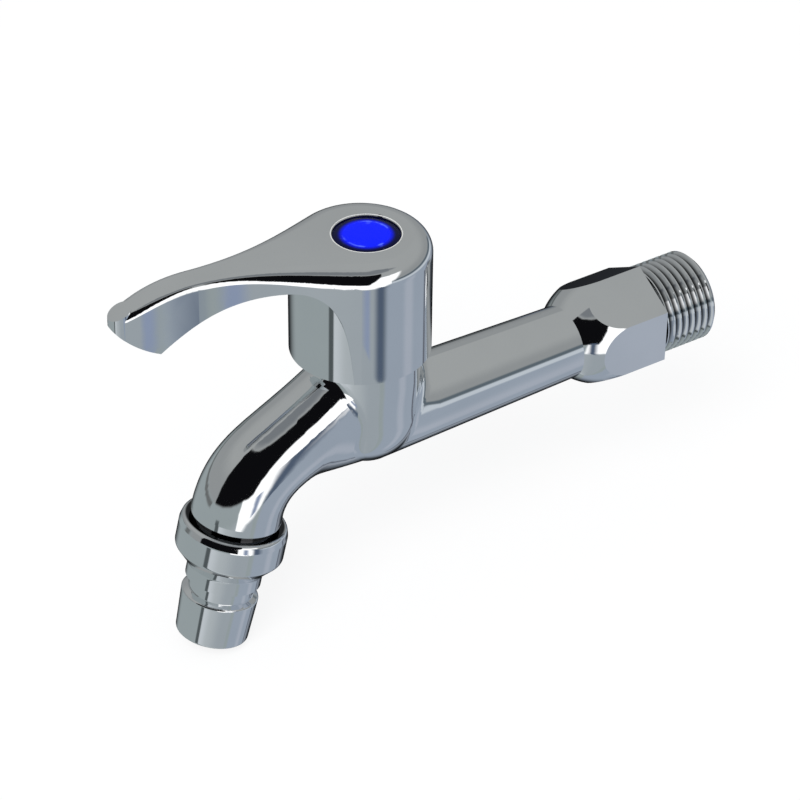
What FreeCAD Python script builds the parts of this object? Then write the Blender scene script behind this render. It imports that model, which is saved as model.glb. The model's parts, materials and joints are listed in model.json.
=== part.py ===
import FreeCAD, Part
import math
import os
import re
import Sketcher
from FreeCAD import Placement, Rotation, Vector

# A long-body wall tap: +Y runs along the inlet axis into the wall, +Z is up, and the origin is on the
# thread's axis at the face of the hexagon that stops against the wall fitting. Millimetres.

SIZES = {
    # inlet thread, G 1/2 parallel
    "thread_radius": 10.48,
    "thread_length": 15.0,
    "thread_pitch": 1.814,
    "thread_depth": 1.16,
    "thread_crest": 0.3,
    "thread_chamfer": 0.9,
    "undercut_width": 1.0,
    "shoulder_relief_radius": 10.7,
    "shoulder_relief_depth": 0.6,
    # hexagon for the spanner, and the flare in front of it
    "wrench_flats": 22.0,
    "wrench_length": 13.5,
    "flare_length": 7.5,
    "flare_corner": 2.5,
    "flare_bulge": 0.7,
    # tube from the flare to the valve
    "tube_radius_inlet": 8.45,
    "tube_radius_valve": 9.7,
    "valve_reach": 73.6,
    "inlet_bore_radius": 6.2,
    "inlet_bore_depth": 58.0,
    "feed_bore_radius": 3.8,
    "feed_drop": 3.4,
    "feed_overlap": 6.0,
    # valve neck and cavity
    "neck_radius": 11.8,
    "neck_top": 22.0,
    "chamber_radius": 11.4,
    "chamber_height": 2.5,
    "neck_shoulder": 13.0,
    "neck_blend": 4.0,
    "seam_low": 0.5,
    "seam_crease": 20.0,
    "neck_thread_radius": 8.33,
    "neck_thread_length": 8.0,
    "cavity_radius": 9.0,
    "outlet_lead": 2.6,
    "seat_height": 4.0,
    "seat_bore_radius": 3.9,
    # spout
    "spout_climb": 2.5,
    "spout_run": 16.7,
    "spout_bend_radius": 15.83,
    "spout_tail": 1.5,
    "spout_tilt": 13.5,
    "spout_root_radius": 9.1,
    "spout_end_radius": 9.9,
    "throat_rise_valve": 10.3,
    "throat_rise_bend": 4.3,
    "throat_fade": 30.0,
    "spout_sections": 5,
    "spout_bore_radius": 5.8,
    "spout_thread_radius": 8.9,
    "spout_thread_length": 7.0,
    # hose nozzle, along the spout's end
    "collar_gap": 1.2,
    "collar_radius": 11.9,
    "collar_rim_radius": 11.4,
    "collar_shoulder": 1.8,
    "collar_band": 5.3,
    "collar_length": 11.3,
    "nozzle_radius": 8.3,
    "nozzle_neck_length": 3.2,
    "groove_radius": 7.2,
    "groove_length": 3.7,
    "ring_radius": 8.5,
    "ring_tip_radius": 8.0,
    "ring_length": 10.2,
    "groove_slope": 0.6,
    "collar_softness": 0.9,
    "ring_softness": 0.5,
    "nozzle_bore_radius": 5.2,
    "washer_thickness": 1.5,
    # headwork
    "housing_foot": 4.5,
    "housing_skirt_radius": 7.8,
    "housing_chamber_radius": 7.0,
    "housing_flats": 17.0,
    "housing_flange_height": 1.5,
    "housing_hex_height": 5.0,
    "housing_collar_radius": 6.5,
    "housing_collar_height": 1.5,
    "gasket_thickness": 1.0,
    "gasket_radius": 10.6,
    "window_width": 6.0,
    "seal_height": 2.2,
    "seal_bore_radius": 4.9,
    "support_ring_wall": 0.6,
    "disc_radius": 6.8,
    "disc_thickness": 3.0,
    "disc_hub_radius": 2.6,
    "port_radius": 5.6,
    "port_angle": 76.0,
    "shutter_angle": 96.0,
    "tongue_width": 3.2,
    "tongue_depth": 1.4,
    # stem
    "stem_radius": 4.4,
    "stem_flange_radius": 6.7,
    "stem_flange_height": 2.2,
    "stop_core_radius": 5.1,
    "stop_lug_angle": 30.0,
    "valve_turn": 90.0,
    "stop_play": 2.0,
    "friction_washer_thickness": 0.6,
    "o_ring_section": 0.75,
    "o_ring_squeeze": 0.03,
    "o_ring_groove_width": 1.9,
    "o_ring_first": 2.2,
    "o_ring_spacing": 4.2,
    "clip_thickness": 0.8,
    "clip_radius": 5.6,
    "clip_opening": 60.0,
    "clip_groove_depth": 0.8,
    "spline_radius": 4.0,
    "spline_depth": 0.45,
    "spline_count": 20,
    "stem_top": 39.3,
    "screw_radius": 1.95,
    "screw_hole_depth": 10.5,
    # handle
    "handle_heading": 8.0,
    "hub_radius": 15.25,
    "hub_lead": 1.4,
    "skirt_bottom": 19.4,
    "handle_top": 47.0,
    "handle_wall": 3.0,
    "skirt_bore_radius": 12.4,
    "boss_wall": 1.9,
    "insert_flats": 13.0,
    "insert_bottom": 31.5,
    "web_thickness": 1.9,
    "lever_taper": 24.0,
    "lever_width": 7.0,
    "lever_tip_width": 5.2,
    "lever_reach": 56.5,
    "lever_rounding": 1.5,
    "hub_rounding": 4.0,
    "rim_crease": 30.0,
    "lever_crown": 38.0,
    "lever_tip_height": 41.2,
    "arch_top": 42.0,
    "arch_reach": 20.0,
    "skirt_web": 7.5,
    "toe_reach": 46.6,
    "toe_height": 32.4,
    "toe_bulge": 1.0,
    "belly_rise": 2.4,
    "belly_lean": 0.5,
    "cap_radius": 7.3,
    "cap_thickness": 1.7,
    "cap_inset": 0.2,
    "recess_bevel": 0.35,
    "cap_dome": 0.5,
    "cap_bevel": 1.2,
    "cap_rim_wall": 0.8,
    "cap_rim_depth": 1.4,
    "screw_head_radius": 3.6,
    "screw_head_height": 2.2,
    "drive_reach": 2.2,
    "drive_width": 0.9,
    "drive_depth": 1.5,
    "screw_washer_radius": 4.6,
    "screw_washer_thickness": 0.8,
    # clearances
    "running_gap": 0.07,
    "seat_gap": 0.05,
    "cap_gap": 0.05,
}

doc = FreeCAD.newDocument("LongBodyTap")
sheet = doc.addObject("Spreadsheet::Sheet", "Sizes")
for row, (alias, number) in enumerate(SIZES.items(), start=1):
    sheet.set("A%d" % row, alias)
    sheet.set("B%d" % row, str(number))
    sheet.setAlias("B%d" % row, alias)
doc.recompute()

WORD = re.compile(r"[a-z][a-z_]*[a-z]")


def cells(text):
    """The same sum with each size's name written as a reference to its cell."""
    return WORD.sub(lambda found: "Sizes." + found.group(0) if found.group(0) in SIZES else found.group(0), text)


def size(text):
    """The present value of a size or of a sum of sizes, in millimetres or degrees."""
    answer = sheet.evalExpression(cells(text))
    return float(getattr(answer, "Value", answer))


# Heights that several pieces share, as sums of sizes
SEAL_TOP = "(seat_height + seal_height)"
FIXED_TOP = "(%s + disc_thickness)" % SEAL_TOP
MOVING_TOP = "(%s + disc_thickness)" % FIXED_TOP
FLANGE_BOTTOM = "(%s + 2 * seat_gap)" % MOVING_TOP
FLANGE_TOP = "(%s + stem_flange_height)" % FLANGE_BOTTOM
CHAMBER_TOP = "(%s + friction_washer_thickness + seat_gap)" % FLANGE_TOP
GASKET_TOP = "(neck_top + gasket_thickness)"
HEX_TOP = "(%s + housing_hex_height)" % GASKET_TOP
HOUSING_TOP = "(%s + housing_collar_height)" % HEX_TOP
CLIP_BOTTOM = "(%s + 4 * seat_gap)" % HOUSING_TOP
O_RING_LOWER = "(%s + o_ring_first)" % CHAMBER_TOP
O_RING_UPPER = "(%s + o_ring_spacing)" % O_RING_LOWER
O_RING_CENTRE = "(stem_radius + running_gap - o_ring_squeeze - o_ring_section)"
O_RING_FLOOR = "(stem_radius + running_gap - o_ring_squeeze - 2 * o_ring_section - o_ring_squeeze)"
WEB_BOTTOM = "(stem_top + 3 * seat_gap)"
WEB_TOP = "(%s + web_thickness)" % WEB_BOTTOM
SCREW_SEAT = "(%s + screw_washer_thickness)" % WEB_TOP
COLLAR_NECK_END = "(collar_length + nozzle_neck_length)"
GROOVE_END = "(%s + groove_length)" % COLLAR_NECK_END
NOZZLE_LENGTH = "(%s + ring_length)" % GROOVE_END
WASHER_START = "(spout_thread_length - collar_gap + seat_gap)"
THREAD_FLOOR = "(%s + washer_thickness)" % WASHER_START


def origin_plane(body, role):
    """One of a body's own three origin planes."""
    return next(plane for plane in body.Origin.OriginFeatures if plane.Role == role)


def outline_sketch(body, name, corners):
    """A closed outline of straight lines in a body's XZ plane, each corner held by its own two sums."""
    sketch = body.newObject("Sketcher::SketchObject", name)
    sketch.AttachmentSupport = (origin_plane(body, "XZ_Plane"), [""])
    sketch.MapMode = "FlatFace"
    points = [Vector(size(across), size(along), 0) for across, along in corners]
    for index, point in enumerate(points):
        sketch.addGeometry(Part.LineSegment(point, points[(index + 1) % len(points)]))
    for index in range(len(points)):
        sketch.addConstraint(Sketcher.Constraint("Coincident", index, 2, (index + 1) % len(points), 1))
    for index, (across, along) in enumerate(corners):
        hold_point(sketch, index, "DistanceX", -2, across)
        hold_point(sketch, index, "DistanceY", -1, along)
    return sketch


def hold_point(sketch, index, kind, axis, text):
    """Fixes one coordinate of a line's first point, on the axis itself where the sum is 0."""
    if text == "0":
        sketch.addConstraint(Sketcher.Constraint("PointOnObject", index, 1, axis))
        return
    number = sketch.addConstraint(Sketcher.Constraint(kind, -1, 1, index, 1, size(text)))
    title = "%s_%d" % ("across" if kind == "DistanceX" else "along", index)
    sketch.renameConstraint(number, title)
    sketch.setExpression("Constraints." + title, cells(text))


def turned(name, corners):
    """A body turned about Z from an outline of (radius, height) corners."""
    body = doc.addObject("PartDesign::Body", name)
    sketch = outline_sketch(body, name + "_outline", corners)
    turn = body.newObject("PartDesign::Revolution", name + "_turn")
    turn.Profile = sketch
    turn.ReferenceAxis = (sketch, ["V_Axis"])
    turn.Angle = 360.0
    doc.recompute()
    return body


def ring(name, inner, outer, bottom, top):
    """A plain turned ring."""
    return turned(name, [(inner, bottom), (outer, bottom), (outer, top), (inner, top)])


def round_edges(body, name, places, radius):
    """A fillet on a turned body's circles, each named by its radius and height."""
    base = body.Tip
    chosen = []
    for index, edge in enumerate(base.Shape.Edges, start=1):
        if not isinstance(edge.Curve, Part.Circle):
            continue
        for across, along in places:
            same_radius = abs(edge.Curve.Radius - size(across)) < 1e-4
            if same_radius and abs(edge.Curve.Center.z - size(along)) < 1e-4:
                chosen.append("Edge%d" % index)
    fillet = body.newObject("PartDesign::Fillet", name)
    fillet.Base = (base, chosen)
    fillet.setExpression("Radius", cells(radius))
    doc.recompute()
    return fillet


def cylinder(name, radius, bottom, top, sweep=None, start=None):
    """A Part cylinder about Z, or a sector of one that starts at an angle from +X."""
    piece = doc.addObject("Part::Cylinder", name)
    piece.setExpression("Radius", cells(radius))
    piece.setExpression("Height", cells("(%s) - (%s)" % (top, bottom)))
    piece.setExpression("Placement.Base.z", cells(bottom))
    if sweep:
        piece.setExpression("Angle", cells(sweep))
        piece.Placement.Rotation = Rotation(Vector(0, 0, 1), 1)
        piece.setExpression("Placement.Rotation.Angle", cells(start))
    return piece


def prism(name, flats, bottom, top):
    """A hexagonal prism about Z from its width across flats."""
    piece = doc.addObject("Part::Prism", name)
    piece.Polygon = 6
    piece.setExpression("Circumradius", cells("%s / 2 / cos(30)" % flats))
    piece.setExpression("Height", cells("(%s) - (%s)" % (top, bottom)))
    piece.setExpression("Placement.Base.z", cells(bottom))
    return piece


def block(name, across, deep, bottom, top):
    """A box centred on the Z axis."""
    piece = doc.addObject("Part::Box", name)
    piece.setExpression("Length", cells(across))
    piece.setExpression("Width", cells(deep))
    piece.setExpression("Height", cells("(%s) - (%s)" % (top, bottom)))
    piece.setExpression("Placement.Base.x", cells("-(%s) / 2" % across))
    piece.setExpression("Placement.Base.y", cells("-(%s) / 2" % deep))
    piece.setExpression("Placement.Base.z", cells(bottom))
    return piece


def joined(name, pieces):
    """The union of several objects."""
    union = doc.addObject("Part::MultiFuse", name)
    union.Shapes = pieces
    union.Refine = True
    return union


def cut(name, base, tools):
    """A base object less one or several others."""
    result = doc.addObject("Part::Cut", name)
    result.Base = base
    result.Tool = tools[0] if len(tools) == 1 else joined(name + "_tools", tools)
    result.Refine = True
    return result


def on_valve_axis(piece, label, turn=None):
    """Names a sub-part and sets it on the valve's axis, turned about it where a size says so."""
    piece.Label = label
    if turn:
        piece.Placement.Rotation = Rotation(Vector(0, 0, 1), 1)
        piece.setExpression("Placement.Rotation.Angle", cells(turn))
    piece.setExpression("Placement.Base.y", cells("-valve_reach"))
    return piece


def along_spout_end(piece, label):
    """Names a sub-part and sets it on the spout's end, its own Z pointing out of the mouth."""
    piece.Label = label
    piece.Placement.Rotation = Rotation(Vector(1, 0, 0), 1)
    piece.setExpression("Placement.Rotation.Angle", cells("180 - spout_tilt"))
    piece.setExpression("Placement.Base.y", cells(
        "-(valve_reach + spout_run * cos(spout_climb) + spout_bend_radius * (sin(spout_climb) + cos(spout_tilt))"
        " + (spout_tail + collar_gap) * sin(spout_tilt))"))
    piece.setExpression("Placement.Base.z", cells(
        "spout_run * sin(spout_climb) - spout_bend_radius * (cos(spout_climb) - sin(spout_tilt))"
        " - (spout_tail + collar_gap) * cos(spout_tilt)"))
    return piece


def splined(name, tip, root, bottom, top, offset="0"):
    """A prism with the stem's teeth all round, from its tip and root radii, turned by an offset angle."""
    count = int(size("spline_count"))
    corners = []
    for index in range(2 * count):
        radius = size(tip) if index % 2 == 0 else size(root)
        angle = math.pi * index / count + math.radians(size(offset))
        corners.append(Vector(radius * math.cos(angle), radius * math.sin(angle), size(bottom)))
    face = Part.Face(Part.makePolygon(corners + corners[:1]))
    piece = doc.addObject("Part::Feature", name)
    piece.Shape = face.extrude(Vector(0, 0, size(top) - size(bottom)))
    return piece


# Body casting

def circle_at(centre, normal, radius):
    return Part.Wire(Part.Circle(centre, normal, radius).toShape())


def spout_point(along_bend):
    """A point of the spout's path in the plane X = 0, from a heading in degrees above level."""
    climb = math.radians(size("spout_climb"))
    run = size("spout_run")
    bend = size("spout_bend_radius")
    centre = Vector(0, -size("valve_reach") - run * math.cos(climb) - bend * math.sin(climb),
                    run * math.sin(climb) - bend * math.cos(climb))
    heading = math.radians(along_bend)
    return centre + Vector(0, bend * math.sin(heading), bend * math.cos(heading))


def heading_vector(degrees):
    """The direction of flow for a heading above level."""
    return Vector(0, -math.cos(math.radians(degrees)), math.sin(math.radians(degrees)))


def spout_mouth():
    """The middle of the spout's end."""
    last = size("spout_tilt") - 90.0
    return spout_point(last) + heading_vector(last) * size("spout_tail")


def spout_bend(first_radius, last_radius, tail=0.0):
    """A round bend down the spout's path, its radius changing steadily."""
    first = size("spout_climb")
    last = size("spout_tilt") - 90.0
    start = spout_point(first)
    end = spout_point(last)
    path = [Part.Arc(start, spout_point((first + last) / 2), end).toShape()]
    finish = end + heading_vector(last) * tail
    if tail:
        path.append(Part.makeLine(end, finish))
    shell = Part.BRepOffsetAPI.MakePipeShell(Part.Wire(path))
    shell.add(circle_at(start, heading_vector(first), first_radius))
    shell.add(circle_at(finish, heading_vector(last), last_radius))
    shell.build()
    shell.makeSolid()
    return shell.shape()


def oval(centre, up, half_height, half_width):
    """An upright oval, or a circle where both halves are equal, that starts at its top."""
    side = Vector(1, 0, 0)
    if half_height > half_width:
        return Part.Wire(Part.Ellipse(centre + up * half_height, centre + side * half_width, centre).toShape())
    loop = Part.Circle(centre, up.cross(side), half_width)
    loop.XAxis = up
    return Part.Wire(loop.toShape())


def spout_outside():
    """The spout's outside: ovals that reach up into the neck and draw in to circles down the bend."""
    first = size("spout_climb")
    last = size("spout_tilt") - 90.0
    side = Vector(1, 0, 0)
    rise = size("throat_rise_valve")
    belly = size("tube_radius_valve")
    up = heading_vector(first).cross(side)
    wires = [oval(Vector(0, -size("valve_reach"), 0) + up * (rise / 2), up, belly + rise / 2, belly)]
    steps = int(size("spout_sections"))
    for step in range(steps + 1):
        share = step / steps
        heading = first + (last - first) * share
        radius = size("spout_root_radius") + (size("spout_end_radius") - size("spout_root_radius")) * share
        fade = max(0.0, 1 - (first - heading) / size("throat_fade"))
        rise = size("throat_rise_bend") * fade ** 2
        up = heading_vector(heading).cross(side)
        wires.append(oval(spout_point(heading) + up * (rise / 2), up, radius + rise / 2, radius))
    return Part.makeLoft(wires, True, False)


def turned_about_inlet(corners):
    """A solid turned about the Y axis from (radius, Y) corners."""
    points = [Vector(0, along, across) for across, along in corners]
    face = Part.Face(Part.makePolygon(points + points[:1]))
    return face.revolve(Vector(0, 0, 0), Vector(0, 1, 0), 360)


def inlet_thread():
    """The male pipe thread, as even ridges of its pitch and depth, with an undercut and a chamfered end."""
    crest = size("thread_radius")
    root = crest - size("thread_depth")
    land = size("thread_crest")
    length = size("thread_length")
    bevel = size("thread_chamfer")
    pitch = size("thread_pitch")
    ridge = size("undercut_width")
    outline = [(0, -1), (root, -1), (root, ridge), (crest, ridge)]
    while ridge + pitch + land < length - bevel:
        outline += [(crest, ridge + land), (root, ridge + (pitch + land) / 2), (crest, ridge + pitch)]
        ridge += pitch
    return turned_about_inlet(outline + [(crest, length - bevel), (crest - bevel, length), (0, length)])


def wrench_section():
    """The hexagon with flats at both sides, a rounded cone in front and a relieved face at the thread."""
    corner = size("wrench_flats") / 2 / math.cos(math.radians(30))
    front = -size("wrench_length") - size("flare_length")
    points = [Vector(corner * math.sin(math.radians(60 * k)), front, corner * math.cos(math.radians(60 * k)))
              for k in range(6)]
    bar = Part.Face(Part.makePolygon(points + points[:1])).extrude(Vector(0, -front, 0))
    foot = Vector(0, front, size("tube_radius_inlet"))
    crown = Vector(0, -size("wrench_length") + size("flare_corner"), corner)
    land = Vector(0, 0, size("shoulder_relief_radius"))
    pit = Vector(0, -size("shoulder_relief_depth"), size("thread_radius - thread_depth"))
    middle = (foot + crown) / 2 + Vector(0, -size("flare_bulge"), size("flare_bulge"))
    edges = [Part.Arc(foot, middle, crown).toShape(),
             Part.makeLine(crown, Vector(0, 0, corner)),
             Part.makeLine(Vector(0, 0, corner), land),
             Part.makeLine(land, pit),
             Part.makeLine(pit, Vector(0, pit.y, 0)),
             Part.makeLine(Vector(0, pit.y, 0), Vector(0, front, 0)),
             Part.makeLine(Vector(0, front, 0), foot)]
    flare = Part.Face(Part.Wire(edges)).revolve(Vector(0, 0, 0), Vector(0, 1, 0), 360)
    return bar.common(flare)


def valve_neck():
    """The upright neck on its round valve chamber, a half ball that bulges at the pipes' meeting."""
    reach = size("valve_reach")
    radius = size("neck_radius")
    ball = size("chamber_radius")
    waist = Vector(ball, 0, size("chamber_height"))
    foot = Vector(0, 0, waist.z - ball)
    low = Vector(ball * math.sqrt(0.5), 0, waist.z - ball * math.sqrt(0.5))
    full = Vector(radius, 0, size("neck_shoulder"))
    swell = Part.BSplineCurve()
    swell.interpolate([waist, full], InitialTangent=Vector(0, 0, 1), FinalTangent=Vector(0, 0, 1))
    top = size("neck_top")
    edges = [Part.Arc(foot, low, waist).toShape(),
             swell.toShape(),
             Part.makeLine(full, Vector(radius, 0, top)),
             Part.makeLine(Vector(radius, 0, top), Vector(0, 0, top)),
             Part.makeLine(Vector(0, 0, top), foot)]
    neck = Part.Face(Part.Wire(edges)).revolve(Vector(0, 0, 0), Vector(0, 0, 1), 360)
    neck.rotate(Vector(0, 0, 0), Vector(0, 0, 1), 90)
    neck.translate(Vector(0, -reach, 0))
    return neck


def bend_angle(shape, edge):
    """The angle in degrees between the two faces that meet at the middle of an edge."""
    faces = shape.ancestorsOfType(edge, Part.Face)
    if len(faces) != 2:
        return 0.0
    first, last = edge.ParameterRange
    middle = edge.valueAt((first + last) / 2)
    normals = [face.normalAt(*face.Surface.parameter(middle)) for face in faces]
    return math.degrees(normals[0].getAngle(normals[1]))


def cast_outside():
    """Tube, spout and valve neck, with the neck blended into both pipes, and the hexagon and threads."""
    reach = size("valve_reach")
    front = size("wrench_length") + size("flare_length")
    belly = size("tube_radius_valve")
    valve = Vector(0, -reach, 0)
    outlet = heading_vector(size("spout_tilt") - 90)
    tube = turned_about_inlet([(0, -reach), (belly, -reach), (size("tube_radius_inlet"), -front), (0, -front)])
    bend_end = spout_point(size("spout_tilt") - 90)
    tail = Part.makeCylinder(size("spout_end_radius"), size("spout_tail"), bend_end, outlet)
    rough = tube.fuse([Part.makeSphere(belly, valve), spout_outside(), tail, valve_neck()]).removeSplitter()
    low, high = size("seam_low"), size("neck_top")
    seam = [edge for edge in rough.Edges
            if low < edge.CenterOfMass.z < high and bend_angle(rough, edge) > size("seam_crease")]
    soft = rough.makeFillet(size("neck_blend"), seam)
    mouth = spout_mouth()
    end = Part.makeCylinder(size("spout_thread_radius"), size("spout_thread_length") + 1, mouth - outlet, outlet)
    return soft.fuse([wrench_section(), inlet_thread(), end]).removeSplitter()


def waterways():
    """The inlet bore, the dropped feed under the seat, the valve cavity with its thread, and the spout's bore."""
    reach = size("valve_reach")
    back = Vector(0, -1, 0)
    up = Vector(0, 0, 1)
    axis = Vector(0, -reach, 0)
    inlet = Part.makeCylinder(size("inlet_bore_radius"), size("inlet_bore_depth") + size("thread_length"),
                              Vector(0, size("thread_length"), 0), back)
    drop = Vector(0, -size("inlet_bore_depth") + size("feed_overlap"), -size("feed_drop"))
    feed = Part.makeCylinder(size("feed_bore_radius"), reach + drop.y, drop, back)
    feed_end = Part.makeSphere(size("feed_bore_radius"), axis - up * size("feed_drop"))
    seat_bore = Part.makeCylinder(size("seat_bore_radius"), size("seat_height") + size("feed_drop"),
                                  axis - up * size("feed_drop"))
    roof = size("neck_top") - size("neck_thread_length")
    cavity = Part.makeCylinder(size("cavity_radius"), roof - size("seat_height"), axis + up * size("seat_height"))
    thread = Part.makeCylinder(size("neck_thread_radius + running_gap"), size("neck_thread_length") + 1,
                               axis + up * roof)
    bore = size("spout_bore_radius")
    outlet = spout_bend(bore, bore, size("spout_tail + spout_thread_length") + 1)
    climb = heading_vector(size("spout_climb"))
    lead = size("spout_run") - size("cavity_radius") + size("outlet_lead")
    throat = Part.makeCylinder(bore, lead, spout_point(size("spout_climb")) - climb * lead, climb)
    return [inlet, feed, feed_end, seat_bore, cavity, thread, outlet, throat]


tap_body = doc.addObject("Part::Feature", "tap_body")
tap_body.Shape = cast_outside().cut(waterways())
tap_body.Label = "tap_body"
nodes = [tap_body]

# Seal, support ring and discs, from the seat upwards

disc_seal = ring("disc_seal", "seal_bore_radius", "housing_chamber_radius - seat_gap", "seat_height", SEAL_TOP)
nodes.append(on_valve_axis(disc_seal, "disc_seal"))

support = ring("seal_support_ring", "seal_bore_radius - seat_gap - support_ring_wall",
               "seal_bore_radius - seat_gap", "seat_height + 4 * seat_gap", SEAL_TOP + " - 4 * seat_gap")
nodes.append(on_valve_axis(support, "seal_support_ring"))

port_tools = []
for side in (90, 270):
    port_tools.append(cylinder("port_%d" % side, "port_radius", SEAL_TOP + " - 1", FIXED_TOP + " + 1",
                               "port_angle", "%d - port_angle / 2" % side))
port_core = cylinder("port_core", "disc_hub_radius", SEAL_TOP + " - 2", FIXED_TOP + " + 2")
ports = cut("ports", joined("port_sectors", port_tools), [port_core])
fixed_blank = cylinder("fixed_disc_blank", "disc_radius", SEAL_TOP, FIXED_TOP)
nodes.append(on_valve_axis(cut("fixed_disc", fixed_blank, [ports]), "fixed_disc"))

shutters = [cylinder("disc_hub", "disc_hub_radius", FIXED_TOP, MOVING_TOP)]
for side in (90, 270):
    shutters.append(cylinder("shutter_%d" % side, "disc_radius", FIXED_TOP, MOVING_TOP,
                             "shutter_angle", "%d - shutter_angle / 2" % side))
slot = block("disc_slot", "tongue_width + 2 * seat_gap", "2 * disc_radius + 2", MOVING_TOP + " - tongue_depth",
             MOVING_TOP + " + 1")
nodes.append(on_valve_axis(cut("moving_disc", joined("bow_tie", shutters), [slot]), "moving_disc"))

# Headwork body with its chamber, thread, flange, hexagon, windows and stop lug

skirt = cylinder("housing_skirt", "housing_skirt_radius", "housing_foot", "neck_top - neck_thread_length")
thread_part = cylinder("housing_thread", "neck_thread_radius", "neck_top - neck_thread_length", GASKET_TOP)
flange = cylinder("housing_flange", "gasket_radius", GASKET_TOP, GASKET_TOP + " + housing_flange_height")
hexagon = prism("housing_hexagon", "housing_flats", GASKET_TOP, HEX_TOP)
collar = cylinder("housing_collar", "housing_collar_radius", GASKET_TOP, HOUSING_TOP)
chamber = cylinder("housing_chamber", "housing_chamber_radius", "housing_foot - 1", CHAMBER_TOP)
stem_bore = cylinder("housing_bore", "stem_radius + running_gap", "housing_foot - 1", HOUSING_TOP + " + 1")
windows = block("housing_windows", "window_width", "2 * housing_skirt_radius + 2", FIXED_TOP, MOVING_TOP)
shell = cut("housing_shell", joined("housing_blank", [skirt, thread_part, flange, hexagon, collar]),
            [chamber, stem_bore, windows])
lug_blank = cylinder("stop_lug_blank", "housing_chamber_radius + 2 * seat_gap", FLANGE_BOTTOM,
                     FLANGE_TOP + " - seat_gap", "stop_lug_angle", "-stop_lug_angle / 2")
lug_core = cylinder("stop_lug_core", "stop_core_radius + 2 * running_gap", FLANGE_BOTTOM + " - 1",
                    CHAMBER_TOP + " + 1")
housing = joined("cartridge_housing", [shell, cut("stop_lug", lug_blank, [lug_core])])
nodes.append(on_valve_axis(housing, "cartridge_housing"))

gasket = ring("housing_gasket", "neck_thread_radius + 2 * running_gap", "gasket_radius", "neck_top", GASKET_TOP)
nodes.append(on_valve_axis(gasket, "housing_gasket"))

# Stem with its tongue, stop flange, seal grooves, clip groove and splines

GROOVE_HALF = "o_ring_groove_width / 2"
stem_turned = turned("stem_turned", [
    ("0", FLANGE_BOTTOM),
    ("stem_flange_radius", FLANGE_BOTTOM),
    ("stem_flange_radius", FLANGE_TOP),
    ("stem_radius", FLANGE_TOP),
    ("stem_radius", "%s - %s" % (O_RING_LOWER, GROOVE_HALF)),
    (O_RING_FLOOR, "%s - %s" % (O_RING_LOWER, GROOVE_HALF)),
    (O_RING_FLOOR, "%s + %s" % (O_RING_LOWER, GROOVE_HALF)),
    ("stem_radius", "%s + %s" % (O_RING_LOWER, GROOVE_HALF)),
    ("stem_radius", "%s - %s" % (O_RING_UPPER, GROOVE_HALF)),
    (O_RING_FLOOR, "%s - %s" % (O_RING_UPPER, GROOVE_HALF)),
    (O_RING_FLOOR, "%s + %s" % (O_RING_UPPER, GROOVE_HALF)),
    ("stem_radius", "%s + %s" % (O_RING_UPPER, GROOVE_HALF)),
    ("stem_radius", CLIP_BOTTOM + " - seat_gap"),
    ("stem_radius - clip_groove_depth", CLIP_BOTTOM + " - seat_gap"),
    ("stem_radius - clip_groove_depth", CLIP_BOTTOM + " + clip_thickness + seat_gap"),
    ("stem_radius", CLIP_BOTTOM + " + clip_thickness + seat_gap"),
    ("stem_radius", "insert_bottom - 4 * seat_gap"),
    ("0", "insert_bottom - 4 * seat_gap"),
])
tongue = block("stem_tongue", "tongue_width", "2 * (stop_core_radius - running_gap)",
               MOVING_TOP + " - tongue_depth + 2 * seat_gap", FLANGE_BOTTOM + " + 0.5")
spline_teeth = splined("stem_teeth", "spline_radius", "spline_radius - spline_depth",
                       "insert_bottom - 1", "stem_top")
notch_blank = cylinder("stop_notch_blank", "stem_flange_radius + 1", FLANGE_BOTTOM + " - 0.5",
                       FLANGE_TOP + " + 0.5", "stop_lug_angle + valve_turn + 2 * stop_play",
                       "-stop_lug_angle / 2 - valve_turn - stop_play")
notch_core = cylinder("stop_notch_core", "stop_core_radius", FLANGE_BOTTOM + " - 1", FLANGE_TOP + " + 1")
screw_hole = cylinder("stem_screw_hole", "screw_radius + seat_gap", "stem_top - screw_hole_depth",
                      "stem_top + 1")
stem = cut("spindle", joined("stem_blank", [stem_turned, tongue, spline_teeth]),
           [cut("stop_notch", notch_blank, [notch_core]), screw_hole])
nodes.append(on_valve_axis(stem, "spindle"))

for place, height in (("lower", O_RING_LOWER), ("upper", O_RING_UPPER)):
    o_ring = doc.addObject("Part::Torus", "spindle_o_ring_" + place)
    o_ring.setExpression("Radius1", cells(O_RING_CENTRE))
    o_ring.setExpression("Radius2", cells("o_ring_section"))
    o_ring.setExpression("Placement.Base.z", cells(height))
    nodes.append(on_valve_axis(o_ring, "spindle_o_ring_" + place))

washer = ring("friction_washer", "stem_radius + running_gap", "housing_chamber_radius - running_gap",
              FLANGE_TOP, FLANGE_TOP + " + friction_washer_thickness")
nodes.append(on_valve_axis(washer, "friction_washer"))

clip_ring = cylinder("clip_blank", "clip_radius", CLIP_BOTTOM, CLIP_BOTTOM + " + clip_thickness")
clip_bore = cylinder("clip_bore", "stem_radius - clip_groove_depth + seat_gap", CLIP_BOTTOM + " - 1",
                     CLIP_BOTTOM + " + clip_thickness + 1")
clip_mouth = cylinder("clip_mouth", "clip_radius + 1", CLIP_BOTTOM + " - 1",
                      CLIP_BOTTOM + " + clip_thickness + 1", "clip_opening", "-clip_opening / 2")
nodes.append(on_valve_axis(cut("spindle_circlip", clip_ring, [clip_bore, clip_mouth]), "spindle_circlip"))

# Handle: insert, casting, screw, washer and cap

insert_blank = prism("insert_blank", "insert_flats", "insert_bottom", WEB_BOTTOM + " - seat_gap")
insert_bore = splined("insert_bore", "spline_radius + running_gap", "spline_radius - spline_depth + running_gap",
                      "insert_bottom - 1", "stem_top + 2", "handle_heading")
insert = cut("spline_insert", insert_blank, [insert_bore])
nodes.append(on_valve_axis(insert, "spline_insert", "-handle_heading"))


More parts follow.
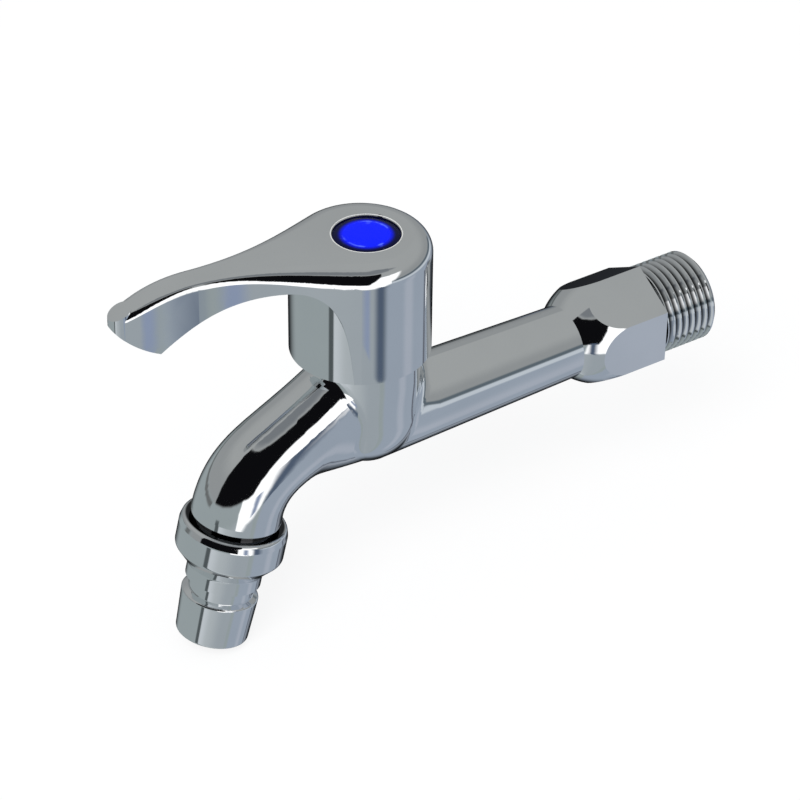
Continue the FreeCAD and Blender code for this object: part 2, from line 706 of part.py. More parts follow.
def lever_plan():
    """The handle's outline from above: the round hub, drawn in to the lever and rounded at its tip."""
    radius = size("hub_radius")
    lead = size("hub_lead")
    taper = math.radians(size("lever_taper"))
    half = size("lever_width") / 2
    tip_half = size("lever_tip_width") / 2
    crown = -lead - size("lever_crown")
    reach = -lead - size("lever_reach")
    edges = []
    for side in (1, -1):
        tangent = Vector(side * radius * math.cos(taper), -lead - radius * math.sin(taper), 0)
        waist = Vector(side * half, crown, 0)
        tip = Vector(side * tip_half, reach + tip_half, 0)
        flank = Part.BSplineCurve()
        flank.interpolate([tangent, waist], InitialTangent=Vector(-side * math.sin(taper), -math.cos(taper), 0),
                          FinalTangent=Vector(-side * 0.02, -1, 0))
        blade = Part.BSplineCurve()
        blade.interpolate([waist, tip], InitialTangent=Vector(-side * 0.02, -1, 0),
                          FinalTangent=Vector(-side * 0.25, -1, 0))
        edges += [flank.toShape(), blade.toShape()]
    left = Vector(-radius * math.cos(taper), -lead - radius * math.sin(taper), 0)
    right = Vector(radius * math.cos(taper), -lead - radius * math.sin(taper), 0)
    edges.append(Part.Arc(right, Vector(0, radius - lead, 0), left).toShape())
    edges.append(Part.Arc(Vector(tip_half, reach + tip_half, 0), Vector(0, reach, 0),
                          Vector(-tip_half, reach + tip_half, 0)).toShape())
    return Part.Face(Part.Wire(Part.__sortEdges__(edges)))


def lever_side():
    """The lever from the side: level top, drooping tip, slanted end, and the arch down to the skirt."""
    top = size("handle_top")
    bottom = size("skirt_bottom")
    arch = size("arch_top")
    lead = -size("hub_lead")

    def at(along, height):
        return Vector(0, lead - along, height)

    crown = at(size("lever_crown"), top)
    tip = at(size("lever_reach") + 1, size("lever_tip_height"))
    toe = at(size("toe_reach"), size("toe_height"))
    arch_end = at(size("arch_reach"), arch)
    droop = Part.BSplineCurve()
    droop.interpolate([crown, tip], InitialTangent=Vector(0, -1, 0), FinalTangent=Vector(0, -0.9, -0.43))
    belly = Part.BSplineCurve()
    middle = at((size("toe_reach") + size("arch_reach")) / 2 - size("belly_lean"),
                (arch + size("toe_height")) / 2 + size("belly_rise"))
    belly.interpolate([toe, middle, arch_end])
    vault = Part.BSplineCurve()
    vault.interpolate([arch_end, at(size("skirt_web"), bottom)], InitialTangent=Vector(0, 1, 0.05),
                      FinalTangent=Vector(0, 0.1, -1))
    chord = (toe - tip).normalize()
    end = Part.Arc(tip, (tip + toe) / 2 + chord.cross(Vector(1, 0, 0)) * size("toe_bulge"), toe)
    edges = [Part.makeLine(Vector(0, lead, top), crown), droop.toShape(), end.toShape(), belly.toShape(),
             vault.toShape(), Part.makeLine(at(size("skirt_web"), bottom), Vector(0, lead, bottom)),
             Part.makeLine(Vector(0, lead, bottom), Vector(0, lead, top))]
    return Part.Face(Part.Wire(edges))


def handle_outside():
    """The whole handle before its bores: the hub, and the lever where its plan and side outlines meet."""
    bottom = size("skirt_bottom")
    top = size("handle_top")
    radius = size("hub_radius")
    hub = Part.makeCylinder(radius, top - bottom, Vector(0, -size("hub_lead"), bottom))
    plan = lever_plan()
    plan.translate(Vector(0, 0, bottom))
    side = lever_side()
    side.translate(Vector(-radius - 1, 0, 0))
    lever = plan.extrude(Vector(0, 0, top - bottom)).common(side.extrude(Vector(2 * radius + 2, 0, 0)))
    return hub.fuse(lever).removeSplitter()


def on_handle_top(edge):
    """True for an edge that runs round the handle's top face."""
    first, last = edge.ParameterRange
    for share in (0.1, 0.5, 0.9):
        point = edge.valueAt(first + (last - first) * share)
        along = -point.y - size("hub_lead")
        level = size("handle_top") if along < size("lever_crown") else size("lever_tip_height") + 0.5
        if point.z < level - 1e-4:
            return False
    return True


handle_blank = doc.addObject("Part::Feature", "handle_blank")
handle_blank.Shape = handle_outside()
rim = []
for index, edge in enumerate(handle_blank.Shape.Edges, start=1):
    if on_handle_top(edge) and bend_angle(handle_blank.Shape, edge) > size("rim_crease"):
        ends = [edge.valueAt(parameter) for parameter in edge.ParameterRange]
        near_hub = [-point.y - size("hub_lead") < size("hub_radius") for point in ends]
        rim.append((index, *[size("hub_rounding" if near else "lever_rounding") for near in near_hub]))
handle_rounded = doc.addObject("Part::Fillet", "handle_rounded")
handle_rounded.Base = handle_blank
handle_rounded.Edges = rim
BOSS_RADIUS = "cap_radius + cap_gap + boss_wall"
skirt_bore = cut("skirt_bore", cylinder("skirt_bore_blank", "skirt_bore_radius", "skirt_bottom - 1",
                                        "handle_top - handle_wall"),
                 [cylinder("boss", BOSS_RADIUS, "insert_bottom", "handle_top")])
pocket = prism("insert_pocket", "(insert_flats + 2 * seat_gap)", "insert_bottom - 1", WEB_BOTTOM)
screw_way = cylinder("screw_way", "screw_radius + 3 * seat_gap", "insert_bottom - 2", "handle_top")
recess = cylinder("cap_recess", "cap_radius + cap_gap", WEB_TOP, "handle_top + 1")
recess_lip = doc.addObject("Part::Cone", "cap_recess_lip")
recess_lip.setExpression("Radius1", cells("cap_radius + cap_gap"))
recess_lip.setExpression("Radius2", cells("cap_radius + cap_gap + 2 * recess_bevel"))
recess_lip.setExpression("Height", cells("2 * recess_bevel"))
recess_lip.setExpression("Placement.Base.z", cells("handle_top - recess_bevel"))
lever_handle = cut("lever_handle", handle_rounded, [skirt_bore, pocket, screw_way, recess, recess_lip])
nodes.append(on_valve_axis(lever_handle, "lever_handle", "-handle_heading"))

screw_washer = ring("screw_washer", "screw_radius + 3 * seat_gap", "screw_washer_radius", WEB_TOP, SCREW_SEAT)
nodes.append(on_valve_axis(screw_washer, "screw_washer"))

shank = cylinder("screw_shank", "screw_radius", "stem_top - screw_hole_depth + 1", SCREW_SEAT + " + 0.5")
head = cylinder("screw_head", "screw_head_radius", SCREW_SEAT, SCREW_SEAT + " + screw_head_height")
drive_top = SCREW_SEAT + " + screw_head_height"
cross = [block("drive_long", "2 * drive_reach", "drive_width", drive_top + " - drive_depth", drive_top + " + 1"),
         block("drive_wide", "drive_width", "2 * drive_reach", drive_top + " - drive_depth", drive_top + " + 1")]
nodes.append(on_valve_axis(cut("handle_screw", joined("screw_blank", [shank, head]), cross), "handle_screw"))

CAP_TOP = "(handle_top - cap_inset)"
cap = turned("index_cap", [
    ("0", CAP_TOP + " - cap_thickness"),
    ("cap_radius - cap_rim_wall", CAP_TOP + " - cap_thickness"),
    ("cap_radius - cap_rim_wall", CAP_TOP + " - cap_thickness - cap_rim_depth"),
    ("cap_radius", CAP_TOP + " - cap_thickness - cap_rim_depth"),
    ("cap_radius", CAP_TOP + " - cap_dome"),
    ("cap_radius - cap_bevel", CAP_TOP),
    ("0", CAP_TOP),
])
nodes.append(on_valve_axis(cap, "index_cap"))

# Hose nozzle and its washer, heights measured from the collar's rim towards the tip

nozzle = turned("hose_nozzle", [
    ("spout_thread_radius + running_gap", "0"),
    ("collar_rim_radius", "0"),
    ("collar_radius", "collar_shoulder"),
    ("collar_radius", "collar_shoulder + collar_band"),
    ("nozzle_radius", "collar_length"),
    ("nozzle_radius", COLLAR_NECK_END),
    ("groove_radius", COLLAR_NECK_END + " + groove_slope"),
    ("groove_radius", GROOVE_END + " - groove_slope"),
    ("ring_radius", GROOVE_END),
    ("ring_tip_radius", NOZZLE_LENGTH),
    ("nozzle_bore_radius", NOZZLE_LENGTH),
    ("nozzle_bore_radius", THREAD_FLOOR),
    ("spout_thread_radius + running_gap", THREAD_FLOOR),
])
round_edges(nozzle, "collar_rounding",
            [("collar_rim_radius", "0"), ("collar_radius", "collar_shoulder"),
             ("collar_radius", "collar_shoulder + collar_band"), ("nozzle_radius", "collar_length")],
            "collar_softness")
round_edges(nozzle, "ring_rounding", [("ring_radius", GROOVE_END), ("ring_tip_radius", NOZZLE_LENGTH)], "ring_softness")
nodes.append(along_spout_end(nozzle, "hose_nozzle"))

nozzle_washer = ring("nozzle_washer", "spout_bore_radius", "spout_thread_radius - seat_gap", WASHER_START, THREAD_FLOOR)
nodes.append(along_spout_end(nozzle_washer, "nozzle_washer"))

# Check every object and each sub-part, then write the sub-parts

doc.recompute()
for item in doc.Objects:
    if "Invalid" in item.State or "Error" in item.State:
        raise RuntimeError("%s failed" % item.Name)
for node in nodes:
    if node.Shape.isNull() or not node.Shape.isValid() or not node.Shape.Solids:
        raise RuntimeError("%s has no valid solid" % node.Label)
os.makedirs("parts", exist_ok=True)
for node in nodes:
    node.Shape.exportStep("parts/%s.step" % node.Label)
    box = node.Shape.BoundBox
    print("%-22s %d solid, %9.1f mm3, X %.1f %.1f Y %.1f %.1f Z %.1f %.1f" % (
        node.Label, len(node.Shape.Solids), node.Shape.Volume,
        box.XMin, box.XMax, box.YMin, box.YMax, box.ZMin, box.ZMax))
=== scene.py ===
import json
from math import cos, pi, radians, sin

import bpy
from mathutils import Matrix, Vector


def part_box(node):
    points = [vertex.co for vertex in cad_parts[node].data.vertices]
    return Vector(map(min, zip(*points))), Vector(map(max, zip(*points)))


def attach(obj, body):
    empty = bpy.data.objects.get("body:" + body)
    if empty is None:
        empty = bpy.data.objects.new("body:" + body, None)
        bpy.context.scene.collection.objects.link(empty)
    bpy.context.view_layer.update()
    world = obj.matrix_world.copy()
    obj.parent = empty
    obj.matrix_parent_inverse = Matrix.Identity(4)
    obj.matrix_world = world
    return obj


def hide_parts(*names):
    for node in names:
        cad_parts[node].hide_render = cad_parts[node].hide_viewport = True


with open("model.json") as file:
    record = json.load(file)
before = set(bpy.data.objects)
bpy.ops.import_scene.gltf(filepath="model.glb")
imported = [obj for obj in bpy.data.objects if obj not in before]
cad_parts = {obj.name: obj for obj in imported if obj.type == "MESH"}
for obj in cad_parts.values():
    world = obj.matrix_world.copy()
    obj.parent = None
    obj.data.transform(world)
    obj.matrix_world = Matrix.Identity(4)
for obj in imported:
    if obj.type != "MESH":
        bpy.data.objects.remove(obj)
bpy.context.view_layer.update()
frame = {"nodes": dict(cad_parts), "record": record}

# Long-body wall tap: chrome casting, lever handle with a blue cap, hose nozzle and the working parts inside.
# +Y runs along the inlet into the wall, +Z is up, and the origin is on the thread's axis at the hexagon's face.

bl_info = {
    "name": "Long-body wall tap",
    "version": (1, 0, 0),
    "blender": (4, 5, 0),
    "location": "View3D > Sidebar > Wall Tap",
    "description": "Dresses the tap's frame with chrome, brass, rubber, ceramic and the studio round it",
    "category": "Object",
}

MM = 0.001


class Signal:
    """A shader value that takes part in ordinary sums: each operator adds its Math node."""

    def __init__(self, board, socket):
        self.board = board
        self.socket = socket

    def sum_with(self, operation, other, swapped=False):
        pair = [other, self] if swapped else [self, other]
        return self.board.math(operation, *pair)

    def __add__(self, other):
        return self.sum_with("ADD", other)

    def __radd__(self, other):
        return self.sum_with("ADD", other, True)

    def __sub__(self, other):
        return self.sum_with("SUBTRACT", other)

    def __rsub__(self, other):
        return self.sum_with("SUBTRACT", other, True)

    def __mul__(self, other):
        return self.sum_with("MULTIPLY", other)

    def __rmul__(self, other):
        return self.sum_with("MULTIPLY", other, True)

    def __gt__(self, other):
        return self.sum_with("GREATER_THAN", other)


class Board:
    """One node tree and the few ways in which this file adds nodes to it."""

    def __init__(self, tree):
        self.tree = tree
        tree.nodes.clear()

    def node(self, kind, settings=(), **inputs):
        """A node with its settings first, then a value or a link for each named input."""
        made = self.tree.nodes.new(kind)
        for name, value in dict(settings).items():
            setattr(made, name, value)
        for name, value in inputs.items():
            socket = made.inputs[int(name[3:]) if name.startswith("in_") else name.replace("_", " ")]
            self.feed(socket, value)
        return made

    def feed(self, socket, value):
        """Links a signal or a socket to an input, or sets the input's value."""
        if isinstance(value, Signal):
            value = value.socket
        if isinstance(value, bpy.types.NodeSocket):
            self.tree.links.new(value, socket)
        else:
            socket.default_value = value

    def math(self, operation, first, second=0.0):
        made = self.node("ShaderNodeMath", {"operation": operation}, in_0=first, in_1=second)
        return Signal(self, made.outputs[0])

    def step(self, value, low, high):
        """0 below low, 1 above high and a smooth rise between."""
        made = self.node("ShaderNodeMapRange", {"interpolation_type": "SMOOTHSTEP"}, Value=value,
                         From_Min=low, From_Max=high, To_Min=0.0, To_Max=1.0)
        return Signal(self, made.outputs["Result"])

    def mix(self, factor, first, second):
        """One colour where the factor is 0, the other where it is 1."""
        made = self.node("ShaderNodeMix", {"data_type": "RGBA"}, in_0=factor, in_6=first, in_7=second)
        return made.outputs[2]

    def place(self):
        """The piece's own coordinates, in metres."""
        return self.node("ShaderNodeTexCoord").outputs["Object"]

    def parts(self, vector):
        """A vector's three values."""
        made = self.node("ShaderNodeSeparateXYZ", Vector=vector)
        return [Signal(self, output) for output in made.outputs]

    def noise(self, scale, detail, stretch=(1, 1, 1)):
        """Fine noise on the piece's own coordinates, scale in grains per metre."""
        mapping = self.node("ShaderNodeMapping", Vector=self.place(), Scale=stretch)
        made = self.node("ShaderNodeTexNoise", Vector=mapping.outputs[0], Scale=scale, Detail=detail)
        return Signal(self, made.outputs[0])

    def seen(self):
        """1 for rays that show a background: from the eye, from mirrors and through glass."""
        path = self.node("ShaderNodeLightPath").outputs
        direct = self.math("MAXIMUM", path["Is Camera Ray"], path["Is Glossy Ray"])
        return self.math("MAXIMUM", direct, path["Is Transmission Ray"])

    def emission(self, colour):
        return self.node("ShaderNodeEmission", Color=colour, Strength=1.0).outputs[0]


def fresh_material(name):
    material = bpy.data.materials.new(name)
    material.use_nodes = True
    return material, Board(material.node_tree)


def finish_material(board, material, bump=None, bump_height=0.0, **shader):
    """Puts the principled shader and the output behind what a finish has worked out."""
    if bump is not None:
        normal = board.node("ShaderNodeBump", Height=bump, Distance=bump_height, Strength=1.0)
        shader["Normal"] = normal.outputs[0]
    surface = board.node("ShaderNodeBsdfPrincipled", **shader)
    board.node("ShaderNodeOutputMaterial", Surface=surface.outputs[0])
    return material


def rgba(colour):
    return (colour[0], colour[1], colour[2], 1.0)


# Places on the plated pieces, in metres: each pair is where a mask starts to rise and where it is full
# The collar gap and thread root places bound painted shade; the inlet's bore and end face are bare brass
COLLAR_GAP_RADIUS = (0.0106, 0.0111)
COLLAR_GAP_DEPTH = (-0.0176, -0.0170)     # along the nozzle's axis, from the middle of its bore
THREAD_ROOT_INNER = (0.0089, 0.0092)
THREAD_ROOT_OUTER = (0.0094, 0.0104)
THREAD_START = (0.0002, 0.0008)
THREAD_STOP = (0.0138, 0.0142)
INLET_BORE_RADIUS = (0.0066, 0.0070)
INLET_BORE_DEPTH = (-0.040, -0.030)
INLET_END_FACE = (0.01490, 0.01496)
THREAD_ROOT_SHADE_STRENGTH = 0.8
PAINTED_SHADE_COLOUR = (0.02, 0.02, 0.022, 1.0)
BARE_BRASS = (0.66, 0.49, 0.25, 1.0)
BARE_ROUGHNESS = 0.42


def in_collar_mouth(board):
    """1 on the nozzle's end face close to the pipe, where shade is painted into the gap, and 0 elsewhere."""
    mouth = next(mount for mount in frame["record"]["mounts"] if mount["name"] == "hose_bore")
    middle, axis = [Vector([float(value) for value in mouth[key]]) for key in ("pos_m", "axis")]
    offset = board.node("ShaderNodeVectorMath", {"operation": "SUBTRACT"},
                        in_0=board.place(), in_1=middle).outputs[0]
    along = board.node("ShaderNodeVectorMath", {"operation": "DOT_PRODUCT"}, in_0=offset, in_1=axis)
    along = Signal(board, along.outputs["Value"])
    out = Signal(board, board.node("ShaderNodeVectorMath", {"operation": "LENGTH"}, in_0=offset).outputs["Value"])
    radius = board.math("SQRT", out * out - along * along)
    return (1 - board.step(radius, *COLLAR_GAP_RADIUS)) * (1 - board.step(along, *COLLAR_GAP_DEPTH))


def about_inlet(board):
    """Radius about the inlet's axis and place along it, in metres."""
    across, along, up = board.parts(board.place())
    return board.math("SQRT", across * across + up * up), along


def in_thread_roots(board):
    """Up to 0.8 in the roots of the inlet thread, where shade is painted in, and 0 elsewhere."""
    radius, along = about_inlet(board)
    roots = board.step(radius, *THREAD_ROOT_INNER) * (1 - board.step(radius, *THREAD_ROOT_OUTER))
    threaded = board.step(along, *THREAD_START) * (1 - board.step(along, *THREAD_STOP))
    return roots * threaded * THREAD_ROOT_SHADE_STRENGTH


def in_inlet_mouth(board):
    """1 in the inlet's bore and on the thread's machined end, which aren't plated, and 0 elsewhere."""
    radius, along = about_inlet(board)
    bore = (1 - board.step(radius, *INLET_BORE_RADIUS)) * board.step(along, *INLET_BORE_DEPTH)
    return board.math("MAXIMUM", bore, board.step(along, *INLET_END_FACE))


def chrome_plate(name, tint, roughness, ripple, painted_shade_mask=None, bare=None):
    """Bright plating: faint clouding in its gloss, hairline polish marks and a slow ripple."""
    material, board = fresh_material(name)
    cloud = board.noise(60.0, 4.0)
    hairline = board.noise(900.0, 2.0, stretch=(1.0, 0.12, 1.0))
    rough = roughness + (cloud - 0.5) * (roughness * 0.8) + (hairline > 0.66) * (roughness * 0.35)
    shade = board.mix(board.step(cloud, 0.3, 0.7), rgba([0.965 * c for c in tint]), rgba(tint))
    # Painted shade: the plating's colour goes dark wherever the mask is up
    if painted_shade_mask:
        shade = board.mix(painted_shade_mask(board), shade, PAINTED_SHADE_COLOUR)
    if bare:
        brass = bare(board)
        shade = board.mix(brass, shade, BARE_BRASS)
        rough = rough * (1 - brass) + brass * BARE_ROUGHNESS
    slow = board.noise(45.0, 1.0)
    return finish_material(board, material, slow, ripple, Base_Color=shade, Metallic=1.0, Roughness=rough)


def bare_metal(name, tint, roughness, grain, stretch=(1, 1, 1)):
    """Machined metal: turning marks along one direction and light clouding."""
    material, board = fresh_material(name)
    marks = board.noise(grain, 3.0, stretch=stretch)
    cloud = board.noise(150.0, 3.0)
    shade = board.mix(cloud, rgba([0.86 * c for c in tint]), rgba(tint))
    return finish_material(board, material, marks, 0.00002, Base_Color=shade, Metallic=1.0,
                           Roughness=roughness + (marks - 0.5) * 0.2)


def moulded(name, tint, roughness, grain, depth, darker=0.8):
    """Rubber, nylon or fired ceramic: a fine moulded grain with slightly uneven colour."""
    material, board = fresh_material(name)
    marks = board.noise(grain, 4.0)
    cloud = board.noise(220.0, 2.0)
    shade = board.mix(cloud, rgba([darker * c for c in tint]), rgba(tint))
    return finish_material(board, material, marks, depth, Base_Color=shade,
                           Roughness=roughness + (marks - 0.5) * 0.15)


# The cap's colours, its painted shade, painted highlights and painted glow by radius about the valve's axis, in
# metres
CAP_RIM_SHADE = (0.0054, 0.0064)
CAP_SHADE_TOWARDS_RIM = (0.0044, 0.0062)
CAP_RING_INNER = (0.0046, 0.0049)
CAP_RING_OUTER = (0.0050, 0.0053)
CAP_HIGHLIGHT_STREAKS = (0.0024, 0.0046)
CAP_SHADED_NAVY = (0.0, 0.002, 0.16, 1.0)
CAP_PAINTED_HIGHLIGHT = (0.16, 0.26, 1.0, 1.0)
CAP_RIM_SHADE_COLOUR = (0.001, 0.002, 0.030, 1.0)
CAP_NAVY_GLOW = (0.0, 0.0, 0.12, 1.0)
CAP_RIM_GLOW = (0.0, 0.0, 0.012, 1.0)
CAP_GLOW = 0.3


def cap_plastic(name, tint):
    """Glossy tinted plastic: a painted glow in the middle, painted shade deepening to a dark rim, and a painted
    highlight ring with pale streaks between.
    """
    material, board = fresh_material(name)
    across, along, _ = board.parts(board.place())
    along = along + look().valve_reach
    radius = board.math("SQRT", across * across + along * along)
    # Painted shade: the blue deepens to navy towards the rim and goes dark at the rim
    rim_shade = board.step(radius, *CAP_RIM_SHADE)
    towards_rim_shade = board.step(radius, *CAP_SHADE_TOWARDS_RIM)
    grain = board.noise(1400.0, 2.0)
    # Painted highlight: a pale ring and pale streaks placed by noise
    streak_noise = board.noise(420.0, 3.0)
    ring = board.step(radius, *CAP_RING_INNER) * (1 - board.step(radius, *CAP_RING_OUTER))
    pale = board.step(streak_noise, 0.46, 0.62) * ring
    pale = pale + board.step(streak_noise, 0.60, 0.76) * board.step(radius, *CAP_HIGHLIGHT_STREAKS) * 0.5
    deep = board.mix(grain, rgba(tint), rgba([0.9 * c for c in tint]))
    deep = board.mix(towards_rim_shade, deep, CAP_SHADED_NAVY)
    deep = board.mix(pale * 0.5, deep, CAP_PAINTED_HIGHLIGHT)
    shade = board.mix(rim_shade, deep, CAP_RIM_SHADE_COLOUR)
    # Painted glow: emission in the cap's colour, dimmer towards the rim
    glow = board.mix(rim_shade, board.mix(towards_rim_shade, rgba(tint), CAP_NAVY_GLOW), CAP_RIM_GLOW)
    return finish_material(board, material, grain, 0.000004, Base_Color=shade, Roughness=0.12 + grain * 0.06,
                           Specular_IOR_Level=0.10, Coat_Weight=0.06, Coat_Roughness=0.03,
                           Emission_Color=glow, Emission_Strength=CAP_GLOW)


def look():
    return bpy.context.scene.wall_tap


class WallTapSettings(bpy.types.PropertyGroup):
    valve_reach: bpy.props.FloatProperty(name="Valve reach", description="Wall face to the valve's axis",
                                         default=0.0736, unit="LENGTH")
    chrome_tint: bpy.props.FloatVectorProperty(name="Chrome", description="Colour of the plating", subtype="COLOR",
                                               size=3, default=(0.88, 0.89, 0.90))
    chrome_roughness: bpy.props.FloatProperty(name="Chrome roughness", description="Roughness of the plating",
                                              default=0.05, subtype="FACTOR", min=0.0, max=1.0)
    cap_tint: bpy.props.FloatVectorProperty(name="Cap", description="Colour of the cap's middle", subtype="COLOR",
                                            size=3, default=(0.0, 0.01, 1.0))


FINISHES = {}


def finish_for(slot):
    """The material of a record slot, made once."""
    if slot in FINISHES:
        return FINISHES[slot]
    tint = list(look().chrome_tint)
    rough = look().chrome_roughness
    makers = {
        "chrome_body": lambda: chrome_plate("chrome_body", tint, rough, 0.00002, in_thread_roots, in_inlet_mouth),
        "chrome_handle": lambda: chrome_plate("chrome_handle", tint, rough, 0.00001),
        "chrome_nozzle": lambda: chrome_plate("chrome_nozzle", tint, rough, 0.00001, in_collar_mouth),
        "bare_brass": lambda: bare_metal("turned_brass", (0.80, 0.58, 0.25), 0.28, 2200.0, (1, 1, 0.1)),
        "steel": lambda: bare_metal("bright_steel", (0.62, 0.62, 0.64), 0.3, 2600.0, (0.2, 1, 1)),
        "disc_ceramic": lambda: moulded("fired_ceramic", (0.93, 0.92, 0.88), 0.25, 3000.0, 0.000004, 0.94),
        "black_rubber": lambda: moulded("black_rubber", (0.03, 0.03, 0.032), 0.55, 2500.0, 0.00001),
        "grey_fibre": lambda: moulded("red_fibre", (0.35, 0.12, 0.10), 0.8, 3500.0, 0.00003, 0.7),
        "white_nylon": lambda: moulded("white_nylon", (0.88, 0.88, 0.84), 0.45, 1800.0, 0.000006, 0.95),
        "blue_plastic": lambda: cap_plastic("blue_plastic", tuple(look().cap_tint)),
    }
    FINISHES[slot] = makers[slot]()
    return FINISHES[slot]


class WALLTAP_OT_finish_nodes(bpy.types.Operator):
    """Gives each solid of the frame the finish of its slot"""
    bl_idname = "wall_tap.finish_nodes"
    bl_label = "Finish the frame's pieces"

    def execute(self, context):
        slots = {part["node"]: part["material_slot"] for part in frame["record"]["subparts"]}
        for name, piece in frame["nodes"].items():
            piece.data.materials.clear()
            piece.data.materials.append(finish_for(slots[name]))
        return {"FINISHED"}


def nothing_selected():
    if bpy.context.mode != "OBJECT":
        bpy.ops.object.mode_set(mode="OBJECT")
    bpy.ops.object.select_all(action="DESELECT")


def settle(piece):
    """Closes a finished piece: its place goes into its mesh and it rides on the handle."""
    nothing_selected()
    piece.select_set(True)
    bpy.context.view_layer.objects.active = piece
    bpy.ops.object.transform_apply(location=True, rotation=True, scale=True)
    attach(piece, "handle")


# The cap and the white ring round its seat, a painted highlight, in millimetres; the steps are each inset of an
# end face and the lift that follows it
CAP_EDGE_DROP = 0.55
CAP_SEGMENTS = 96
CAP_DOME_STEPS = ((0.4, 0.24), (0.6, 0.14), (1.1, 0.10), (1.7, 0.06), (1.7, 0.02))
CAP_HOLLOW_STEPS = ((0.8, 0.0), (0.05, 1.35))
HIGHLIGHT_RING_GAP = 0.2
HIGHLIGHT_RING_RADIUS = 0.12


class WALLTAP_OT_blue_cap(bpy.types.Operator):
    """Models the blue cap as a shallow dome with a hollow underside, and a thin white ring round its seat as a
    painted highlight
    """
    bl_idname = "wall_tap.blue_cap"
    bl_label = "Blue cap and its lip"

    def execute(self, context):
        low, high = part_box("index_cap")
        radius = (high.x - low.x) / 2
        middle = ((low.x + high.x) / 2, (low.y + high.y) / 2)
        edge = high.z - CAP_EDGE_DROP * MM
        nothing_selected()
        bpy.ops.mesh.primitive_cylinder_add(vertices=CAP_SEGMENTS, radius=radius, depth=edge - low.z,
                                            location=(*middle, (edge + low.z) / 2))
        cap = context.object
        cap.name = "blue_cap"
        bpy.ops.object.mode_set(mode="EDIT")
        for side, steps in ((1, CAP_DOME_STEPS), (-1, CAP_HOLLOW_STEPS)):
            bpy.ops.mesh.select_all(action="DESELECT")
            bpy.ops.object.mode_set(mode="OBJECT")
            for face in cap.data.polygons:
                face.select = face.normal.z * side > 0.99
            bpy.ops.object.mode_set(mode="EDIT")
            for inward, rise in steps:
                bpy.ops.mesh.inset(thickness=inward * MM)
                bpy.ops.transform.translate(value=(0.0, 0.0, rise * MM))
        bpy.ops.mesh.select_all(action="SELECT")
        bpy.ops.mesh.normals_make_consistent(inside=False)
        bpy.ops.object.mode_set(mode="OBJECT")
        bpy.ops.object.shade_smooth_by_angle(angle=radians(40))
        cap.data.materials.append(finish_for("blue_plastic"))
        settle(cap)
        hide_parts("index_cap")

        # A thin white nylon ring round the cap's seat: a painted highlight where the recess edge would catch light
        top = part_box("lever_handle")[1].z
        nothing_selected()
        bpy.ops.mesh.primitive_torus_add(major_segments=128, minor_segments=12,
                                         major_radius=radius + HIGHLIGHT_RING_GAP * MM, minor_radius=HIGHLIGHT_RING_RADIUS * MM,
                                         location=(*middle, top - HIGHLIGHT_RING_RADIUS * MM))
        seat_highlight = context.object
        seat_highlight.name = "seat_highlight_ring"
        bpy.ops.object.shade_smooth()
        seat_highlight.data.materials.append(finish_for("white_nylon"))
        settle(seat_highlight)
        return {"FINISHED"}


CAMERA_AZIMUTH = radians(55.833)
CAMERA_ELEVATION = radians(35.394)
CAMERA_ROLL = radians(0.692)
CAMERA_LENS = 144.337
CAMERA_PLACE = (0.47108, -0.38441, 0.40537)
UP = Vector((0.0, 0.0, 1.0))
FACING = Vector((sin(CAMERA_AZIMUTH), -cos(CAMERA_AZIMUTH), 0.0))
RIGHT = Vector((cos(CAMERA_AZIMUTH), sin(CAMERA_AZIMUTH), 0.0))

TENT_RADIUS = 0.6
TENT_MIDDLE = (0.0, -0.075, 0.0)
# The light tent's panels and flags, in degrees: bearing from and to (0 is towards the camera, positive is to
# the right of the picture), height from and to, softness, then colour
TENT_BASE = (0.320, 0.365, 0.375, 1.0)
FRONT_FADE = ((0.56, 0.60, 0.63, 1.0), (0.44, 0.48, 0.50, 1.0), (0.34, 0.38, 0.41, 1.0))
TENT_PANELS = (
    (40, 200, -95, 1, 8, (0.325, 0.375, 0.445)),
    (-200, 200, 2, 95, 5, (0.300, 0.315, 0.320)),
    (-200, 200, 30, 95, 24, (0.370, 0.385, 0.385)),
    (-60, 90, 60, 80, 8, (0.190, 0.205, 0.220)),
    (50, 150, 1, 9, 5, (0.110, 0.140, 0.165)),
    (50, 150, -9, 0, 4, (0.560, 0.610, 0.660)),
    (-200, -70, -4, 1, 3, (0.150, 0.160, 0.160)),
    (-50, -42, -60, -9, 3, (0.085, 0.100, 0.105)),
    (75, 92, -70, -14, 12, (0.400, 0.440, 0.510)),
    (121, 126, -70, -14, 4, (0.120, 0.130, 0.160)),
    (133, 139, -70, -14, 4, (0.450, 0.480, 0.540)),
)
# Narrow flags on stands beside the tap: middle (X, Y, Z), width along Y and height in millimetres, then colour
STAND_FLAGS = (
    ("hub_flag", (97, -80, -13), 44, 51, (0.085, 0.115, 0.170)),
    ("lever_flag", (97, -116, -22), 26, 26, (0.270, 0.325, 0.450)),
)
DARK_FLAG = (0.004, 0.004, 0.005, 1.0)
SOFTBOX = (1.25, 1.25, 1.25, 1.0)
SOFTBOX_SLANT = 0.6
BEHIND_TAP = (0.012, 0.013, 0.015, 1.0)
BEHIND_SPREAD = (18.0, 50.0)
FLOOR_GAP = 0.5
FLOOR_GLOW = 0.8
FLOOR_WHITE = (1.05, 1.05, 1.05, 1.0)
AIR_LIGHT = (0.62, 0.63, 0.65, 1.0)
WHITE = (1.0, 1.0, 1.0, 1.0)
LAMP_PLACE = (0.9, -1.3, 1.6)
LAMP_SIZE = 1.2
LAMP_WATTS = 22.0


